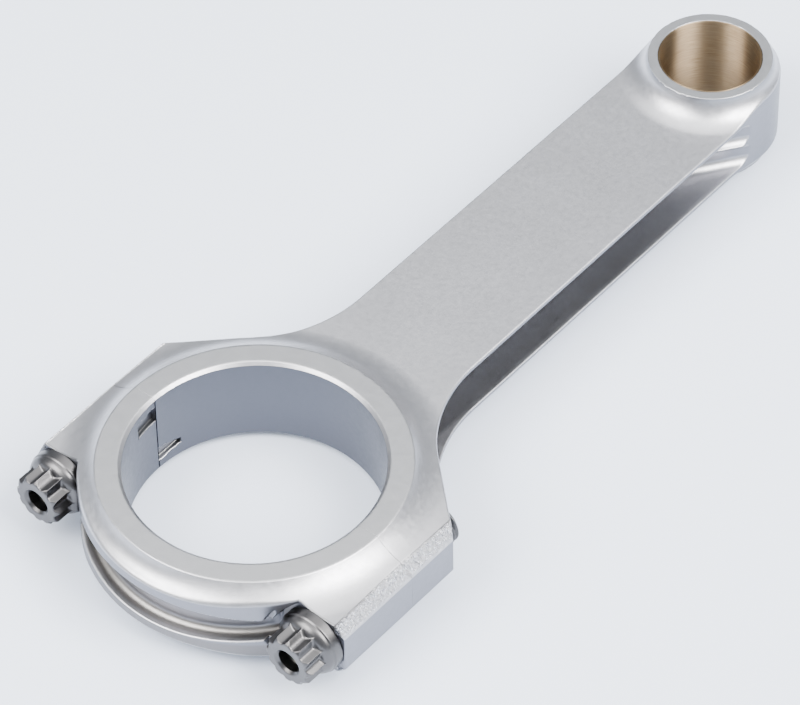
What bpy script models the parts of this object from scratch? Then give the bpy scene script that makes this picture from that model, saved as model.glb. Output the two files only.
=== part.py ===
"""Forged connecting rod with an H-section beam, bolted cap, two cap screws and a pin bushing.

The rod lies flat: +X runs from the crank end to the pin end, +Y across the two cap
screws and +Z up along both bores.  Every shape is drawn about the crank bore's axis and the
rod's middle plane, and placed so that the bounding box stands centred on the origin.
Lengths are in metres.
"""
import math

import bmesh
import bpy

# ---- driving dimensions ---------------------------------------------------------------
CENTRE_DISTANCE = 0.1524
CLEARANCE = 0.0003

BIG_BORE_RADIUS = 0.0270
BIG_WIDTH = 0.0216
BIG_RING_WALL = 0.0055
BIG_COVE_REACH = 0.0090
BIG_BORE_CHAMFER = 0.0006

PIN_BORE_RADIUS = 0.0110
SMALL_WIDTH = 0.0241
SMALL_RING_WALL = 0.0015
SMALL_COVE_REACH = 0.0080
BUSHING_WALL = 0.0009
EYE_WALL = 0.0034
PIN_BORE_CHAMFER = 0.0003

BEAM_THICKNESS = 0.0136
LIP_THICKNESS = 0.0020
WEB_THICKNESS = 0.0060
CHANNEL_FILLET = 0.0028
CHANNEL_FILLET_SHARE = 0.6
CHANNEL_END_WALL = 0.0022
CHANNEL_END_REACH = 0.0052
CHANNEL_SWEEP_START = 0.0500
CHANNEL_SWEEP_RADIUS = 0.0225

SHOULDER_WALL = 0.0077
SHOULDER_LENGTH = 0.01265
SHOULDER_FILLET = 0.0350
SIDE_FACE_HEIGHT = 0.0090
DRAFT_BAND_DEPTH = 0.0024

CAP_WALL = 0.0092
CAP_SEAT = 0.0209
CAP_GROOVE_HEIGHT = 0.0098
CAP_GROOVE_DEPTH = 0.0026
SPOT_FACE_GAP = 0.0022

SCREW_BORE_OFFSET = 0.0067
SCREW_RADIUS = 0.0047625
SHANK_RELIEF = 0.0003125
SCREW_REACH = 0.0185
THREAD_LENGTH = 0.0165
SCREW_TIP_CHAMFER = 0.0009
HEAD_HEIGHT = 0.0084
HEAD_FLANGE_OVERHANG = 0.0025375
HEAD_FLANGE_THICKNESS = 0.0020
HEAD_CONE_HEIGHT = 0.0014
HEAD_CONE_PEAK = 0.0021
HEAD_CONE_SHARE = 0.87
HEAD_ACROSS_FLATS = 0.0112
HEAD_CHAMFER = 0.0007
HEAD_DIMPLE_RADIUS = 0.0030
HEAD_DIMPLE_DEPTH = 0.0022
HEAD_DIMPLE_FLOOR_RADIUS = 0.0021
HEAD_DIMPLE_FLOOR_RISE = 0.0004

SLEEVE_WALL = 0.00055
SLEEVE_HALF_LENGTH = 0.0040

TANG_LENGTH = 0.0061
TANG_WIDTH = 0.0039
TANG_DEPTH = 0.0013
TANG_INSET = 0.0026

BIG_STEPS = 96
SMALL_STEPS = 64
SCREW_STEPS = 32
COVE_STEPS = 6
HEAD_POINTS = 12
SWEEP_STEPS = 12
ROUND_END_STEPS = 16
FILLET_STEPS = 4
GROOVE_STEPS = 8
OVERSHOOT = 0.0010
COVE_SINK = 0.00005
WELD = 0.00001
HUB_TURN = math.radians(0.56)
SMOOTH_ANGLE = math.radians(30)

# ---- derived dimensions ---------------------------------------------------------------
BIG_RING_RADIUS = BIG_BORE_RADIUS + BIG_RING_WALL
CAP_RADIUS = BIG_BORE_RADIUS + CAP_WALL
SCREW_OFFSET = BIG_BORE_RADIUS + SCREW_BORE_OFFSET
SHOULDER_HALF_WIDTH = SCREW_OFFSET + SHOULDER_WALL
SHANK_RADIUS = SCREW_RADIUS - SHANK_RELIEF
HEAD_FLANGE_RADIUS = SCREW_RADIUS + HEAD_FLANGE_OVERHANG
SPOT_FACE_RADIUS = HEAD_FLANGE_RADIUS + SPOT_FACE_GAP
SCREW_HOLE_RADIUS = SCREW_RADIUS + CLEARANCE
SLEEVE_RADIUS = SCREW_HOLE_RADIUS + SLEEVE_WALL
SLEEVE_SEAT_RADIUS = SLEEVE_RADIUS + CLEARANCE
SLEEVE_SEAT_DEPTH = SLEEVE_HALF_LENGTH + CLEARANCE
BUSHING_RADIUS = PIN_BORE_RADIUS + BUSHING_WALL
HOUSING_RADIUS = BUSHING_RADIUS + CLEARANCE
SMALL_RING_RADIUS = HOUSING_RADIUS + SMALL_RING_WALL
BEAM_HALF_WIDTH = HOUSING_RADIUS + EYE_WALL
CHANNEL_HALF_HEIGHT = BEAM_THICKNESS / 2 - LIP_THICKNESS
TALLEST = max(BIG_WIDTH, SMALL_WIDTH)
ORIGIN_X = (CAP_RADIUS - CENTRE_DISTANCE - BEAM_HALF_WIDTH) / 2
ORIGIN_Z = TALLEST / 2
PLACE = (ORIGIN_X, 0.0, ORIGIN_Z)

for stale in list(bpy.data.objects):
    bpy.data.objects.remove(stale, do_unlink=True)

parts = bpy.data.collections.new("connecting_rod")
cutters = bpy.data.collections.new("cutters")
bpy.context.scene.collection.children.link(parts)
bpy.context.scene.collection.children.link(cutters)


def material(name, color, roughness, metallic=1.0):
    """A plain surface with one colour, roughness and metallic value."""
    made = bpy.data.materials.new(name)
    made.use_nodes = True
    shader = made.node_tree.nodes["Principled BSDF"]
    shader.inputs["Base Color"].default_value = (*color, 1.0)
    shader.inputs["Roughness"].default_value = roughness
    shader.inputs["Metallic"].default_value = metallic
    return made


FORGED = material("shot_peened_steel", (0.56, 0.56, 0.57), 0.42)
CAP_STEEL = material("cap_steel", (0.54, 0.54, 0.55), 0.40)
SCREW_STEEL = material("screw_steel", (0.48, 0.47, 0.46), 0.25)
SLEEVE_STEEL = material("sleeve_steel", (0.50, 0.50, 0.51), 0.30)
BRONZE = material("bushing_bronze", (0.52, 0.39, 0.25), 0.30)


def add_object(name, mesh, collection, location, surface=None):
    """Link a mesh as an object, with a material or as a hidden cutter."""
    made = bpy.data.objects.new(name, mesh)
    made.location = location
    collection.objects.link(made)
    if surface is None:
        made.hide_render = True
        made.display_type = "WIRE"
    else:
        mesh.materials.clear()
        mesh.materials.append(surface)
    return made


def boolean(target, cutter, operation="DIFFERENCE"):
    """Cut, join or trim a target with a cutter."""
    step = target.modifiers.new(cutter.name, "BOOLEAN")
    step.operation = operation
    step.object = cutter
    step.solver = "EXACT"


def flat_outline(name, points, half_height, collection, location, surface=None):
    """A plan outline extruded up and down from the middle plane, as a mesh object."""
    curve = bpy.data.curves.new(name, "CURVE")
    curve.dimensions = "2D"
    curve.fill_mode = "BOTH"
    curve.extrude = half_height
    spline = curve.splines.new("POLY")
    spline.points.add(len(points) - 1)
    for slot, (x, y) in zip(spline.points, points):
        slot.co = (x, y, 0.0, 1.0)
    spline.use_cyclic_u = True
    drawn = bpy.data.objects.new(name + "_outline", curve)
    cutters.objects.link(drawn)
    bpy.context.view_layer.update()
    graph = bpy.context.evaluated_depsgraph_get()
    mesh = bpy.data.meshes.new_from_object(drawn.evaluated_get(graph))
    mesh.name = name
    shape = bmesh.new()
    shape.from_mesh(mesh)
    bmesh.ops.remove_doubles(shape, verts=shape.verts, dist=WELD)
    bmesh.ops.recalc_face_normals(shape, faces=shape.faces)
    shape.to_mesh(mesh)
    shape.free()
    bpy.data.objects.remove(drawn, do_unlink=True)
    return add_object(name, mesh, collection, location, surface)


def turned(name, profile, steps, collection, location, surface=None, along_x=False, closed=False):
    """A profile of (radius, height) points, running down its outer side, turned once round.

    With along_x the turning axis lies along +X, so that heights become distances along X.
    """
    mesh = bpy.data.meshes.new(name)
    shape = bmesh.new()
    corners = [shape.verts.new((radius, 0.0, height)) for radius, height in profile]
    for first, second in zip(corners, corners[1:]):
        shape.edges.new((first, second))
    if closed:
        shape.edges.new((corners[-1], corners[0]))
    shape.to_mesh(mesh)
    shape.free()
    made = add_object(name, mesh, collection, location, surface)
    if along_x:
        made.rotation_euler = (0.0, math.pi / 2, 0.0)
    spin = made.modifiers.new("turn", "SCREW")
    spin.steps = steps
    spin.render_steps = steps
    spin.use_merge_vertices = True
    spin.merge_threshold = WELD
    spin.use_smooth_shade = False
    return made


def box(name, low, high, collection=cutters):
    """A box between two corners, given about the crank bore and the middle plane."""
    mesh = bpy.data.meshes.new(name)
    shape = bmesh.new()
    bmesh.ops.create_cube(shape, size=1.0)
    size = [b - a for a, b in zip(low, high)]
    middle = [(a + b) / 2 for a, b in zip(low, high)]
    bmesh.ops.scale(shape, vec=size, verts=shape.verts)
    shape.to_mesh(mesh)
    shape.free()
    spot = [place + shift for place, shift in zip(PLACE, middle)]
    return add_object(name, mesh, collection, spot)


def arc(centre, radius, start, end, steps):
    """Points on an arc, angles in degrees, both ends included."""
    points = []
    for i in range(steps + 1):
        angle = math.radians(start + (end - start) * i / steps)
        points.append((centre[0] + radius * math.cos(angle), centre[1] + radius * math.sin(angle)))
    return points


def mirrored(half):
    """A half outline with y >= 0, closed by its own mirror image in y."""
    return half + [(x, -y) for x, y in reversed(half) if y > WELD]


# ---- the envelope that both forgings share --------------------------------------------
def cove(ring_radius, half_width, reach):
    """Profile from a raised ring's edge down a hollow cove, to just under the beam's surface."""
    foot = BEAM_THICKNESS / 2 - COVE_SINK
    drop = half_width - foot
    radius = (drop * drop + reach * reach) / (2 * drop)
    centre = (ring_radius + reach, foot + radius)
    start = 180 + math.degrees(math.asin((radius - drop) / radius))
    return arc(centre, radius, start, 270, COVE_STEPS)


def hub(name, ring_radius, half_width, reach, x, steps):
    """A raised ring on both faces with its coves, as a solid that a bore is cut in later.

    It is turned by a small angle so that its facets never line up with those of the outlines.
    """
    top = cove(ring_radius, half_width, reach)
    bottom = [(r, -z) for r, z in reversed(top)]
    profile = [(0.0, half_width)] + top + bottom + [(0.0, -half_width)]
    made = turned(name, profile, steps, cutters, (PLACE[0] + x, 0.0, PLACE[2]))
    made.rotation_euler.z = HUB_TURN
    return made


envelope = box(
    "envelope",
    (-2 * CAP_RADIUS, -2 * SHOULDER_HALF_WIDTH, -BEAM_THICKNESS / 2),
    (CENTRE_DISTANCE + 2 * CAP_RADIUS, 2 * SHOULDER_HALF_WIDTH, BEAM_THICKNESS / 2),
)
boolean(envelope, hub("big_hub", BIG_RING_RADIUS, BIG_WIDTH / 2, BIG_COVE_REACH, 0.0, BIG_STEPS), "UNION")
small_hub = hub(
    "small_hub", SMALL_RING_RADIUS, SMALL_WIDTH / 2, SMALL_COVE_REACH, CENTRE_DISTANCE, SMALL_STEPS
)
boolean(envelope, small_hub, "UNION")


# ---- plan outlines --------------------------------------------------------------------
def rod_outline():
    """Shoulder, flank sloping at 45 degrees, long fillet, straight beam and round pin end."""
    flank_sum = SHOULDER_LENGTH + SHOULDER_HALF_WIDTH
    tangent = SHOULDER_FILLET * math.tan(math.radians(45 / 2))
    corner = (flank_sum - BEAM_HALF_WIDTH, BEAM_HALF_WIDTH)
    centre = (corner[0] + tangent, corner[1] + SHOULDER_FILLET)
    half = [(CLEARANCE / 2, SHOULDER_HALF_WIDTH), (SHOULDER_LENGTH, SHOULDER_HALF_WIDTH)]
    half += arc(centre, SHOULDER_FILLET, 225, 270, 10)
    half += arc((CENTRE_DISTANCE, 0.0), BEAM_HALF_WIDTH, 90, 0, 20)
    return mirrored(half)


def cap_outline():
    """Two screw shoulders joined by the round back of the cap."""
    seat_angle = math.degrees(math.acos(-CAP_SEAT / CAP_RADIUS))
    half = [(-CLEARANCE / 2, SHOULDER_HALF_WIDTH), (-CAP_SEAT, SHOULDER_HALF_WIDTH)]
    half += arc((0.0, 0.0), CAP_RADIUS, seat_angle, 180, 16)
    return mirrored(half)


rod_body = flat_outline("rod_body", rod_outline(), TALLEST, parts, PLACE, FORGED)
rod_cap = flat_outline("rod_cap", cap_outline(), TALLEST, parts, PLACE, CAP_STEEL)
boolean(rod_body, envelope, "INTERSECT")
boolean(rod_cap, envelope, "INTERSECT")


# ---- bores ----------------------------------------------------------------------------
def bore(name, radius, half_width, chamfer, x, steps):
    """A through bore with a 45 degree chamfer at both mouths."""
    mouth = radius + chamfer + OVERSHOOT
    beyond = half_width + OVERSHOOT
    profile = [
        (0.0, beyond), (mouth, beyond), (radius, half_width - chamfer),
        (radius, chamfer - half_width), (mouth, -beyond), (0.0, -beyond),
    ]
    return turned(name, profile, steps, cutters, (PLACE[0] + x, 0.0, PLACE[2]))


big_bore = bore("big_bore", BIG_BORE_RADIUS, BIG_WIDTH / 2, BIG_BORE_CHAMFER, 0.0, BIG_STEPS)
housing = bore("housing", HOUSING_RADIUS, SMALL_WIDTH / 2, PIN_BORE_CHAMFER, CENTRE_DISTANCE, SMALL_STEPS)
boolean(rod_body, big_bore)
boolean(rod_cap, big_bore)
boolean(rod_body, housing)


# ---- side channels of the H-section ---------------------------------------------------
def channel_floor(x):
    """Distance of the channel's floor from the rod's centre line."""
    web = WEB_THICKNESS / 2
    if x < CHANNEL_SWEEP_START:
        run = min(CHANNEL_SWEEP_START - x, CHANNEL_SWEEP_RADIUS)
        return web + CHANNEL_SWEEP_RADIUS - math.sqrt(CHANNEL_SWEEP_RADIUS**2 - run**2)
    wall = HOUSING_RADIUS + CHANNEL_END_WALL
    ahead = CENTRE_DISTANCE - x
    rise = math.sqrt(max(wall**2 - ahead**2, 0.0))
    return (web**4 + rise**4) ** 0.25


def channel_half_height(x):
    """Half of the channel's height, which closes in a round end beside the pin end."""
    end = CENTRE_DISTANCE - CHANNEL_END_REACH
    into = max(x - (end - CHANNEL_HALF_HEIGHT), 0.0)
    return math.sqrt(max(CHANNEL_HALF_HEIGHT**2 - into**2, CLEARANCE**2))


def channel_section(x, side):
    """One U-shaped section of the channel, open away from the web."""
    floor = channel_floor(x)
    height = channel_half_height(x)
    fillet = min(CHANNEL_FILLET, CHANNEL_FILLET_SHARE * height)
    mouth = 2 * BEAM_HALF_WIDTH
    upper = [(mouth, height)]
    for y, z in arc((floor + fillet, height - fillet), fillet, 90, 180, FILLET_STEPS):
        upper.append((y, z))
    lower = [(y, -z) for y, z in reversed(upper)]
    return [(x, side * y, z) for y, z in upper + lower]


def channel(name, side):
    """The channel as a loft of its sections along the beam."""
    start = CHANNEL_SWEEP_START - CHANNEL_SWEEP_RADIUS
    end = CENTRE_DISTANCE - CHANNEL_END_REACH
    round_end = end - 2 * CHANNEL_HALF_HEIGHT - HOUSING_RADIUS / 4
    stations = []
    for i in range(SWEEP_STEPS):
        share = 1 - math.cos(i * math.pi / 2 / SWEEP_STEPS)
        stations.append(start + (CHANNEL_SWEEP_START - start) * share)
    stations += [CHANNEL_SWEEP_START, round_end]
    for i in range(ROUND_END_STEPS):
        share = math.sin((i + 1) * math.pi / 2 / ROUND_END_STEPS)
        stations.append(round_end + (end - round_end) * share)
    shape = bmesh.new()
    rings = [[shape.verts.new(point) for point in channel_section(x, side)] for x in stations]
    count = len(rings[0])
    for first, second in zip(rings, rings[1:]):
        for i in range(count):
            j = (i + 1) % count
            shape.faces.new((first[i], first[j], second[j], second[i]))
    shape.faces.new(rings[0])
    shape.faces.new(rings[-1])
    bmesh.ops.triangulate(shape, faces=shape.faces)
    bmesh.ops.recalc_face_normals(shape, faces=shape.faces)
    mesh = bpy.data.meshes.new(name)
    shape.to_mesh(mesh)
    shape.free()
    return add_object(name, mesh, cutters, PLACE)


for side, label in ((1, "left"), (-1, "right")):
    boolean(rod_body, channel("channel_" + label, side))

# ---- draft bands along the shoulders' upper and lower edges ---------------------------
band_rise = BEAM_THICKNESS / 2 - SIDE_FACE_HEIGHT / 2
band_angle = math.atan2(band_rise, DRAFT_BAND_DEPTH)
band_size = SHOULDER_HALF_WIDTH / 2
for side, side_label in ((1, "left"), (-1, "right")):
    for level, level_label in ((1, "upper"), (-1, "lower")):
        band = box(
            "draft_%s_%s" % (side_label, level_label),
            (-CAP_SEAT - band_size, -band_size / 2, -band_size / 2),
            (SHOULDER_LENGTH + band_size, band_size / 2, band_size / 2),
        )
        middle_y = SHOULDER_HALF_WIDTH - DRAFT_BAND_DEPTH / 2
        middle_z = (BEAM_THICKNESS + SIDE_FACE_HEIGHT) / 4
        normal = (math.sin(band_angle), math.cos(band_angle))
        band.location.y = side * (middle_y + normal[0] * band_size / 2)
        band.location.z = PLACE[2] + level * (middle_z + normal[1] * band_size / 2)
        band.rotation_euler = (-side * level * band_angle, 0.0, 0.0)
        boolean(rod_body, band)
        boolean(rod_cap, band)

# ---- groove round the back of the cap -------------------------------------------------
groove_profile = [(CAP_RADIUS + OVERSHOOT, CAP_GROOVE_HEIGHT / 2)]
groove_profile += [(CAP_RADIUS + OVERSHOOT, -CAP_GROOVE_HEIGHT / 2)]
for i in range(GROOVE_STEPS + 1):
    height = -1 + 2 * i / GROOVE_STEPS
    depth = CAP_GROOVE_DEPTH * (1 - height**4)
    groove_profile.append((CAP_RADIUS - depth, height * CAP_GROOVE_HEIGHT / 2))
groove = turned("cap_groove", groove_profile, BIG_STEPS, cutters, PLACE, closed=True)
groove_span = box(
    "cap_groove_span",
    (-2 * CAP_RADIUS, -CAP_RADIUS, -CAP_GROOVE_HEIGHT),
    (-CAP_SEAT - CLEARANCE, CAP_RADIUS, CAP_GROOVE_HEIGHT),
)
boolean(groove, groove_span, "INTERSECT")
boolean(rod_cap, groove)


# ---- passages for the screws and their locating sleeves -------------------------------
def passage(name, y):
    """Spot face, clearance hole, sleeve seats in both forgings and threaded hole, along X."""
    tail = -2 * CAP_RADIUS
    nose = SHOULDER_HALF_WIDTH
    profile = [
        (0.0, nose), (SCREW_HOLE_RADIUS, nose), (SCREW_HOLE_RADIUS, SLEEVE_SEAT_DEPTH),
        (SLEEVE_SEAT_RADIUS, SLEEVE_SEAT_DEPTH), (SLEEVE_SEAT_RADIUS, -SLEEVE_SEAT_DEPTH),
        (SCREW_HOLE_RADIUS, -SLEEVE_SEAT_DEPTH), (SCREW_HOLE_RADIUS, -CAP_SEAT),
        (SPOT_FACE_RADIUS, -CAP_SEAT), (SPOT_FACE_RADIUS, tail), (0.0, tail),
    ]
    return turned(name, profile, SCREW_STEPS, cutters, (PLACE[0], y, PLACE[2]), along_x=True)


for side, label in ((1, "left"), (-1, "right")):
    drilled = passage("screw_passage_" + label, side * SCREW_OFFSET)
    boolean(rod_body, drilled)
    boolean(rod_cap, drilled)

# ---- bearing tang notches in the bore wall --------------------------------------------
tang_start = BIG_BORE_RADIUS - 2 * TANG_DEPTH
tang_floor = BIG_BORE_RADIUS + TANG_DEPTH
tang_top = BIG_WIDTH / 2 - TANG_INSET
cap_tang = box(
    "cap_tang",
    (-TANG_LENGTH, tang_start, tang_top - TANG_WIDTH),
    (OVERSHOOT, tang_floor, tang_top),
)
rod_tang = box(
    "rod_tang",
    (-OVERSHOOT, tang_start, -tang_top),
    (TANG_LENGTH, tang_floor, TANG_WIDTH - tang_top),
)
boolean(rod_cap, cap_tang)
boolean(rod_body, rod_tang)

# ---- bronze bushing in the pin end ----------------------------------------------------
bushing_half = SMALL_WIDTH / 2
bushing_profile = [
    (PIN_BORE_RADIUS + PIN_BORE_CHAMFER, bushing_half),
    (BUSHING_RADIUS, bushing_half),
    (BUSHING_RADIUS, -bushing_half),
    (PIN_BORE_RADIUS + PIN_BORE_CHAMFER, -bushing_half),
    (PIN_BORE_RADIUS, PIN_BORE_CHAMFER - bushing_half),
    (PIN_BORE_RADIUS, bushing_half - PIN_BORE_CHAMFER),
]
pin_centre = (PLACE[0] + CENTRE_DISTANCE, 0.0, PLACE[2])
turned("pin_bushing", bushing_profile, SMALL_STEPS, parts, pin_centre, BRONZE, closed=True)


# ---- cap screws -----------------------------------------------------------------------
def star(across_flats, points):
    """Plan of a twelve-point head: two hexagons, one turned by half a side."""
    inner = across_flats / 2 / math.cos(math.pi / points)
    outer = across_flats / 2 / math.cos(2 * math.pi / points)
    outline = []
    for i in range(2 * points):
        radius = inner if i % 2 else outer
        angle = math.pi * i / points
        outline.append((radius * math.cos(angle), radius * math.sin(angle)))
    return outline


def cap_screw(name, y):
    """Flanged twelve-point head with a dimple, waisted shank and plain threaded length.

    The object's origin is on the screw's axis, at the underside of its head.
    """
    length = SCREW_REACH + CAP_SEAT + CLEARANCE
    corner = HEAD_ACROSS_FLATS / 2 / math.cos(math.pi / 6)
    waist = length - THREAD_LENGTH
    profile = [
        (0.0, length), (SCREW_RADIUS - SCREW_TIP_CHAMFER, length),
        (SCREW_RADIUS, length - SCREW_TIP_CHAMFER), (SCREW_RADIUS, waist),
        (SHANK_RADIUS, waist - (SCREW_RADIUS - SHANK_RADIUS)), (SHANK_RADIUS, 0.0),
        (HEAD_FLANGE_RADIUS, 0.0), (HEAD_FLANGE_RADIUS, -HEAD_FLANGE_THICKNESS),
        (HEAD_CONE_SHARE * corner, -HEAD_FLANGE_THICKNESS - HEAD_CONE_HEIGHT),
        (0.0, -HEAD_FLANGE_THICKNESS - HEAD_CONE_PEAK),
    ]
    seat = (PLACE[0] - CAP_SEAT - CLEARANCE, y, PLACE[2])
    screw = turned(name, profile, SCREW_STEPS, parts, seat, SCREW_STEEL, along_x=True)

    half = (HEAD_HEIGHT - HEAD_FLANGE_THICKNESS / 2) / 2
    middle = (seat[0] - HEAD_HEIGHT + half, y, PLACE[2])
    crown = flat_outline(name + "_crown", star(HEAD_ACROSS_FLATS, HEAD_POINTS), half, cutters, middle)
    crown.rotation_euler = (0.0, math.pi / 2, 0.0)
    face = -HEAD_HEIGHT
    trim_profile = [
        (0.0, 0.0), (corner + HEAD_CHAMFER, 0.0), (corner + HEAD_CHAMFER, face + 2 * HEAD_CHAMFER),
        (corner - HEAD_CHAMFER - OVERSHOOT, face - OVERSHOOT), (0.0, face - OVERSHOOT),
    ]
    trim = turned(name + "_trim", trim_profile, SCREW_STEPS, cutters, seat, along_x=True)
    boolean(crown, trim, "INTERSECT")
    boolean(screw, crown, "UNION")
    dimple_profile = [
        (0.0, face + HEAD_DIMPLE_DEPTH),
        (HEAD_DIMPLE_FLOOR_RADIUS, face + HEAD_DIMPLE_DEPTH - HEAD_DIMPLE_FLOOR_RISE),
        (HEAD_DIMPLE_RADIUS, face), (HEAD_DIMPLE_RADIUS, face - OVERSHOOT), (0.0, face - OVERSHOOT),
    ]
    dimple = turned(name + "_dimple", dimple_profile, SCREW_STEPS, cutters, seat, along_x=True)
    boolean(screw, dimple)
    return screw


def sleeve(name, y):
    """A thin locating sleeve round the screw, half in the rod and half in the cap."""
    profile = [
        (SCREW_HOLE_RADIUS, SLEEVE_HALF_LENGTH), (SLEEVE_RADIUS, SLEEVE_HALF_LENGTH),
        (SLEEVE_RADIUS, -SLEEVE_HALF_LENGTH), (SCREW_HOLE_RADIUS, -SLEEVE_HALF_LENGTH),
    ]
    spot = (PLACE[0], y, PLACE[2])
    return turned(name, profile, SCREW_STEPS, parts, spot, SLEEVE_STEEL, along_x=True, closed=True)


for side, label in ((1, "left"), (-1, "right")):
    cap_screw("cap_screw_" + label, side * SCREW_OFFSET)
    sleeve("dowel_sleeve_" + label, side * SCREW_OFFSET)


def settle(part):
    """Keep the finished shape as the object's own mesh, smooth on its round faces only."""
    graph = bpy.context.evaluated_depsgraph_get()
    mesh = bpy.data.meshes.new_from_object(part.evaluated_get(graph))
    part.modifiers.clear()
    part.data = mesh
    mesh.shade_smooth()
    mesh.set_sharp_from_angle(angle=SMOOTH_ANGLE)


bpy.context.view_layer.update()
for part in parts.objects:
    settle(part)
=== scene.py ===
"""Looks for the connecting rod: fine forgings, screws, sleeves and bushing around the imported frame.

Shapes are drawn as distance fields in millimetres about the crank bore's axis and the rod's
middle plane, turned into meshes on a graded grid, and placed in metres by the frame's own boxes.
"""

import math
from types import SimpleNamespace

import bpy
import numpy as np
from mathutils import Matrix, Vector


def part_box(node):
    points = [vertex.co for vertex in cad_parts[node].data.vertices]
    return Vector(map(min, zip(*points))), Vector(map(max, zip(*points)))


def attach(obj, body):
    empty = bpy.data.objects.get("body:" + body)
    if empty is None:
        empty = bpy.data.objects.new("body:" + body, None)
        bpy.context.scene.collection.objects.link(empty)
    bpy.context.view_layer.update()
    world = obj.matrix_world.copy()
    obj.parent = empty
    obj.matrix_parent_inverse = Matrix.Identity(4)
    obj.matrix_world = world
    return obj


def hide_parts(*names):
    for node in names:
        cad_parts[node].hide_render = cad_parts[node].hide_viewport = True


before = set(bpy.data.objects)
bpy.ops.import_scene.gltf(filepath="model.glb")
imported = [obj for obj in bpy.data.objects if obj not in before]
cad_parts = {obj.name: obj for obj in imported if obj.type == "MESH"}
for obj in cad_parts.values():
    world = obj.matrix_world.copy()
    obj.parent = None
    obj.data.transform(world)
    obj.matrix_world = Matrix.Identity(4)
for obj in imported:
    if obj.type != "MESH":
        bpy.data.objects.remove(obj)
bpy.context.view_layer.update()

# ---- dimensions, in millimetres; some refine the CAD's own ------------------------------
CENTRE_DISTANCE = 152.4
BORE_R = 27.0
BIG_RING_R = 32.5
BIG_HALF = 10.8
BIG_REACH = 9.0
BACK_COVE_CUT = 3.8
BORE_CHAMFER = 0.7
PIN_R = 11.08
SMALL_RING_R = 13.7
SMALL_HALF = 12.05
SMALL_REACH = 6.4
HOUSING_R = 11.46
BEAM_HALF_WIDTH = 15.6
BEAM_HALF = 6.8
CHANNEL_HALF = 5.8
CHANNEL_FLOOR = 3.0
CHANNEL_SWEEP_X = 50.0
CHANNEL_SWEEP_R = 22.5
CHANNEL_RIDGE = 1.1
CHANNEL_RAMP_X = 126.2
CHANNEL_RAMP = math.radians(35.4)
CHANNEL_RAMP_BLEND = 6.2
LOBE_DROP = 1.8
SHOULDER_Y = 41.4
SHOULDER_X = 12.95
FAR_SHOULDER_X = 13.7
SHOULDER_FILLET = 33.0
FLANK = math.radians(47.7)
SIDE_FACE_HALF = 4.5
FAR_SIDE_FACE_HALF = 1.6
DRAFT_DEPTH = 2.4
CAP_R = 36.2
CAP_SEAT = 20.9
GROOVE_HALF = 4.3
GROOVE_TAPER = 1.7
GROOVE_DEPTH = 3.3
SPOT_FACE_R = 8.45
OUTER_SPOT_R = 9.5
OUTER_SPOT_X = -24.6
PARTING = 0.004
SCREW_Y = 33.7
SCREW_R = 4.7625
SCREW_HOLE_R = 5.06
SLEEVE_R = 5.6125
TANG_LENGTH = 6.1
TANG_LOW = 4.3
TANG_HIGH = 8.2
TANG_FLOOR = 28.3
TANG_SLOPE = 0.13
TANG_SCOOP = 1.3
MM = 0.001

cap_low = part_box("rod_cap")[0]
body_low, body_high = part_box("rod_body")
AXIS_X = cap_low[0] / MM + CAP_R
MID_Z = (body_low[2] + body_high[2]) / 2 / MM


def to_world(points):
    """Millimetres about the crank bore's axis and the middle plane, as metres in the frame."""
    return (np.asarray(points, dtype=float) + (AXIS_X, 0.0, MID_Z)) * MM


# ---- distance fields --------------------------------------------------------------------
def both(a, b, radius):
    """Where both fields are solid, with the edge between them rounded to a radius."""
    corner = np.sqrt(np.maximum(a + radius, 0.0) ** 2 + np.maximum(b + radius, 0.0) ** 2) - radius
    return np.minimum(np.maximum(a, b), -radius) + corner + radius


def either(a, b, radius):
    """Where one of the fields is solid, with a fillet in the corner between them."""
    return -both(-a, -b, radius)


def hub(rho, height, ring_r, half, reach):
    """A raised ring with a hollow cove that runs down to the beam's surface."""
    drop = half - BEAM_HALF
    radius = (drop * drop + reach * reach) / (2 * drop)
    ahead = np.clip(ring_r + reach - rho, 0.0, 0.99 * radius)
    side = np.sqrt(radius * radius - ahead * ahead)
    slope_scale = side / radius
    cove = (height - (BEAM_HALF + radius - side)) * slope_scale
    return both(height - half, cove, 0.15)


def smooth_step(value, start, end):
    """Rises smoothly from 0 at the start to 1 at the end."""
    share = np.clip((value - start) / (end - start), 0.0, 1.0)
    return share * share * (3 - 2 * share)


def envelope(x, y, z):
    """Beam slab with the raised rings of both ends; the cap's cove is short at its back."""
    height = np.abs(z)
    reach = BIG_REACH - BACK_COVE_CUT * smooth_step(-x, CAP_SEAT + 4, CAP_R)
    big = hub(np.hypot(x, y), height, BIG_RING_R, BIG_HALF, reach)
    small = hub(np.hypot(x - CENTRE_DISTANCE, y), height, SMALL_RING_R, SMALL_HALF, SMALL_REACH)
    return np.minimum(big, small)


def rod_plan(x, y):
    """Plan of the rod: shoulder, sloping flank, long fillet, beam and round pin end."""
    side = np.abs(y)
    shoulder_x = np.where(y > 0, FAR_SHOULDER_X, SHOULDER_X)
    flank = (x - shoulder_x) * math.sin(FLANK) + (side - SHOULDER_Y) * math.cos(FLANK)
    shoulder = np.maximum(side - SHOULDER_Y, flank)
    beam = np.hypot(np.maximum(x - CENTRE_DISTANCE, 0.0), side) - BEAM_HALF_WIDTH
    tangent = SHOULDER_FILLET * math.tan(FLANK / 2)
    corner_x = shoulder_x + (SHOULDER_Y - BEAM_HALF_WIDTH) / math.tan(FLANK)
    centre_x = corner_x + tangent
    centre_y = BEAM_HALF_WIDTH + SHOULDER_FILLET
    hollow = SHOULDER_FILLET - np.hypot(x - centre_x, side - centre_y)
    chord = (x - centre_x) * math.sin(FLANK / 2) + (side - BEAM_HALF_WIDTH) * math.cos(FLANK / 2)
    return np.minimum(np.minimum(shoulder, beam), np.maximum(hollow, chord))


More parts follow.
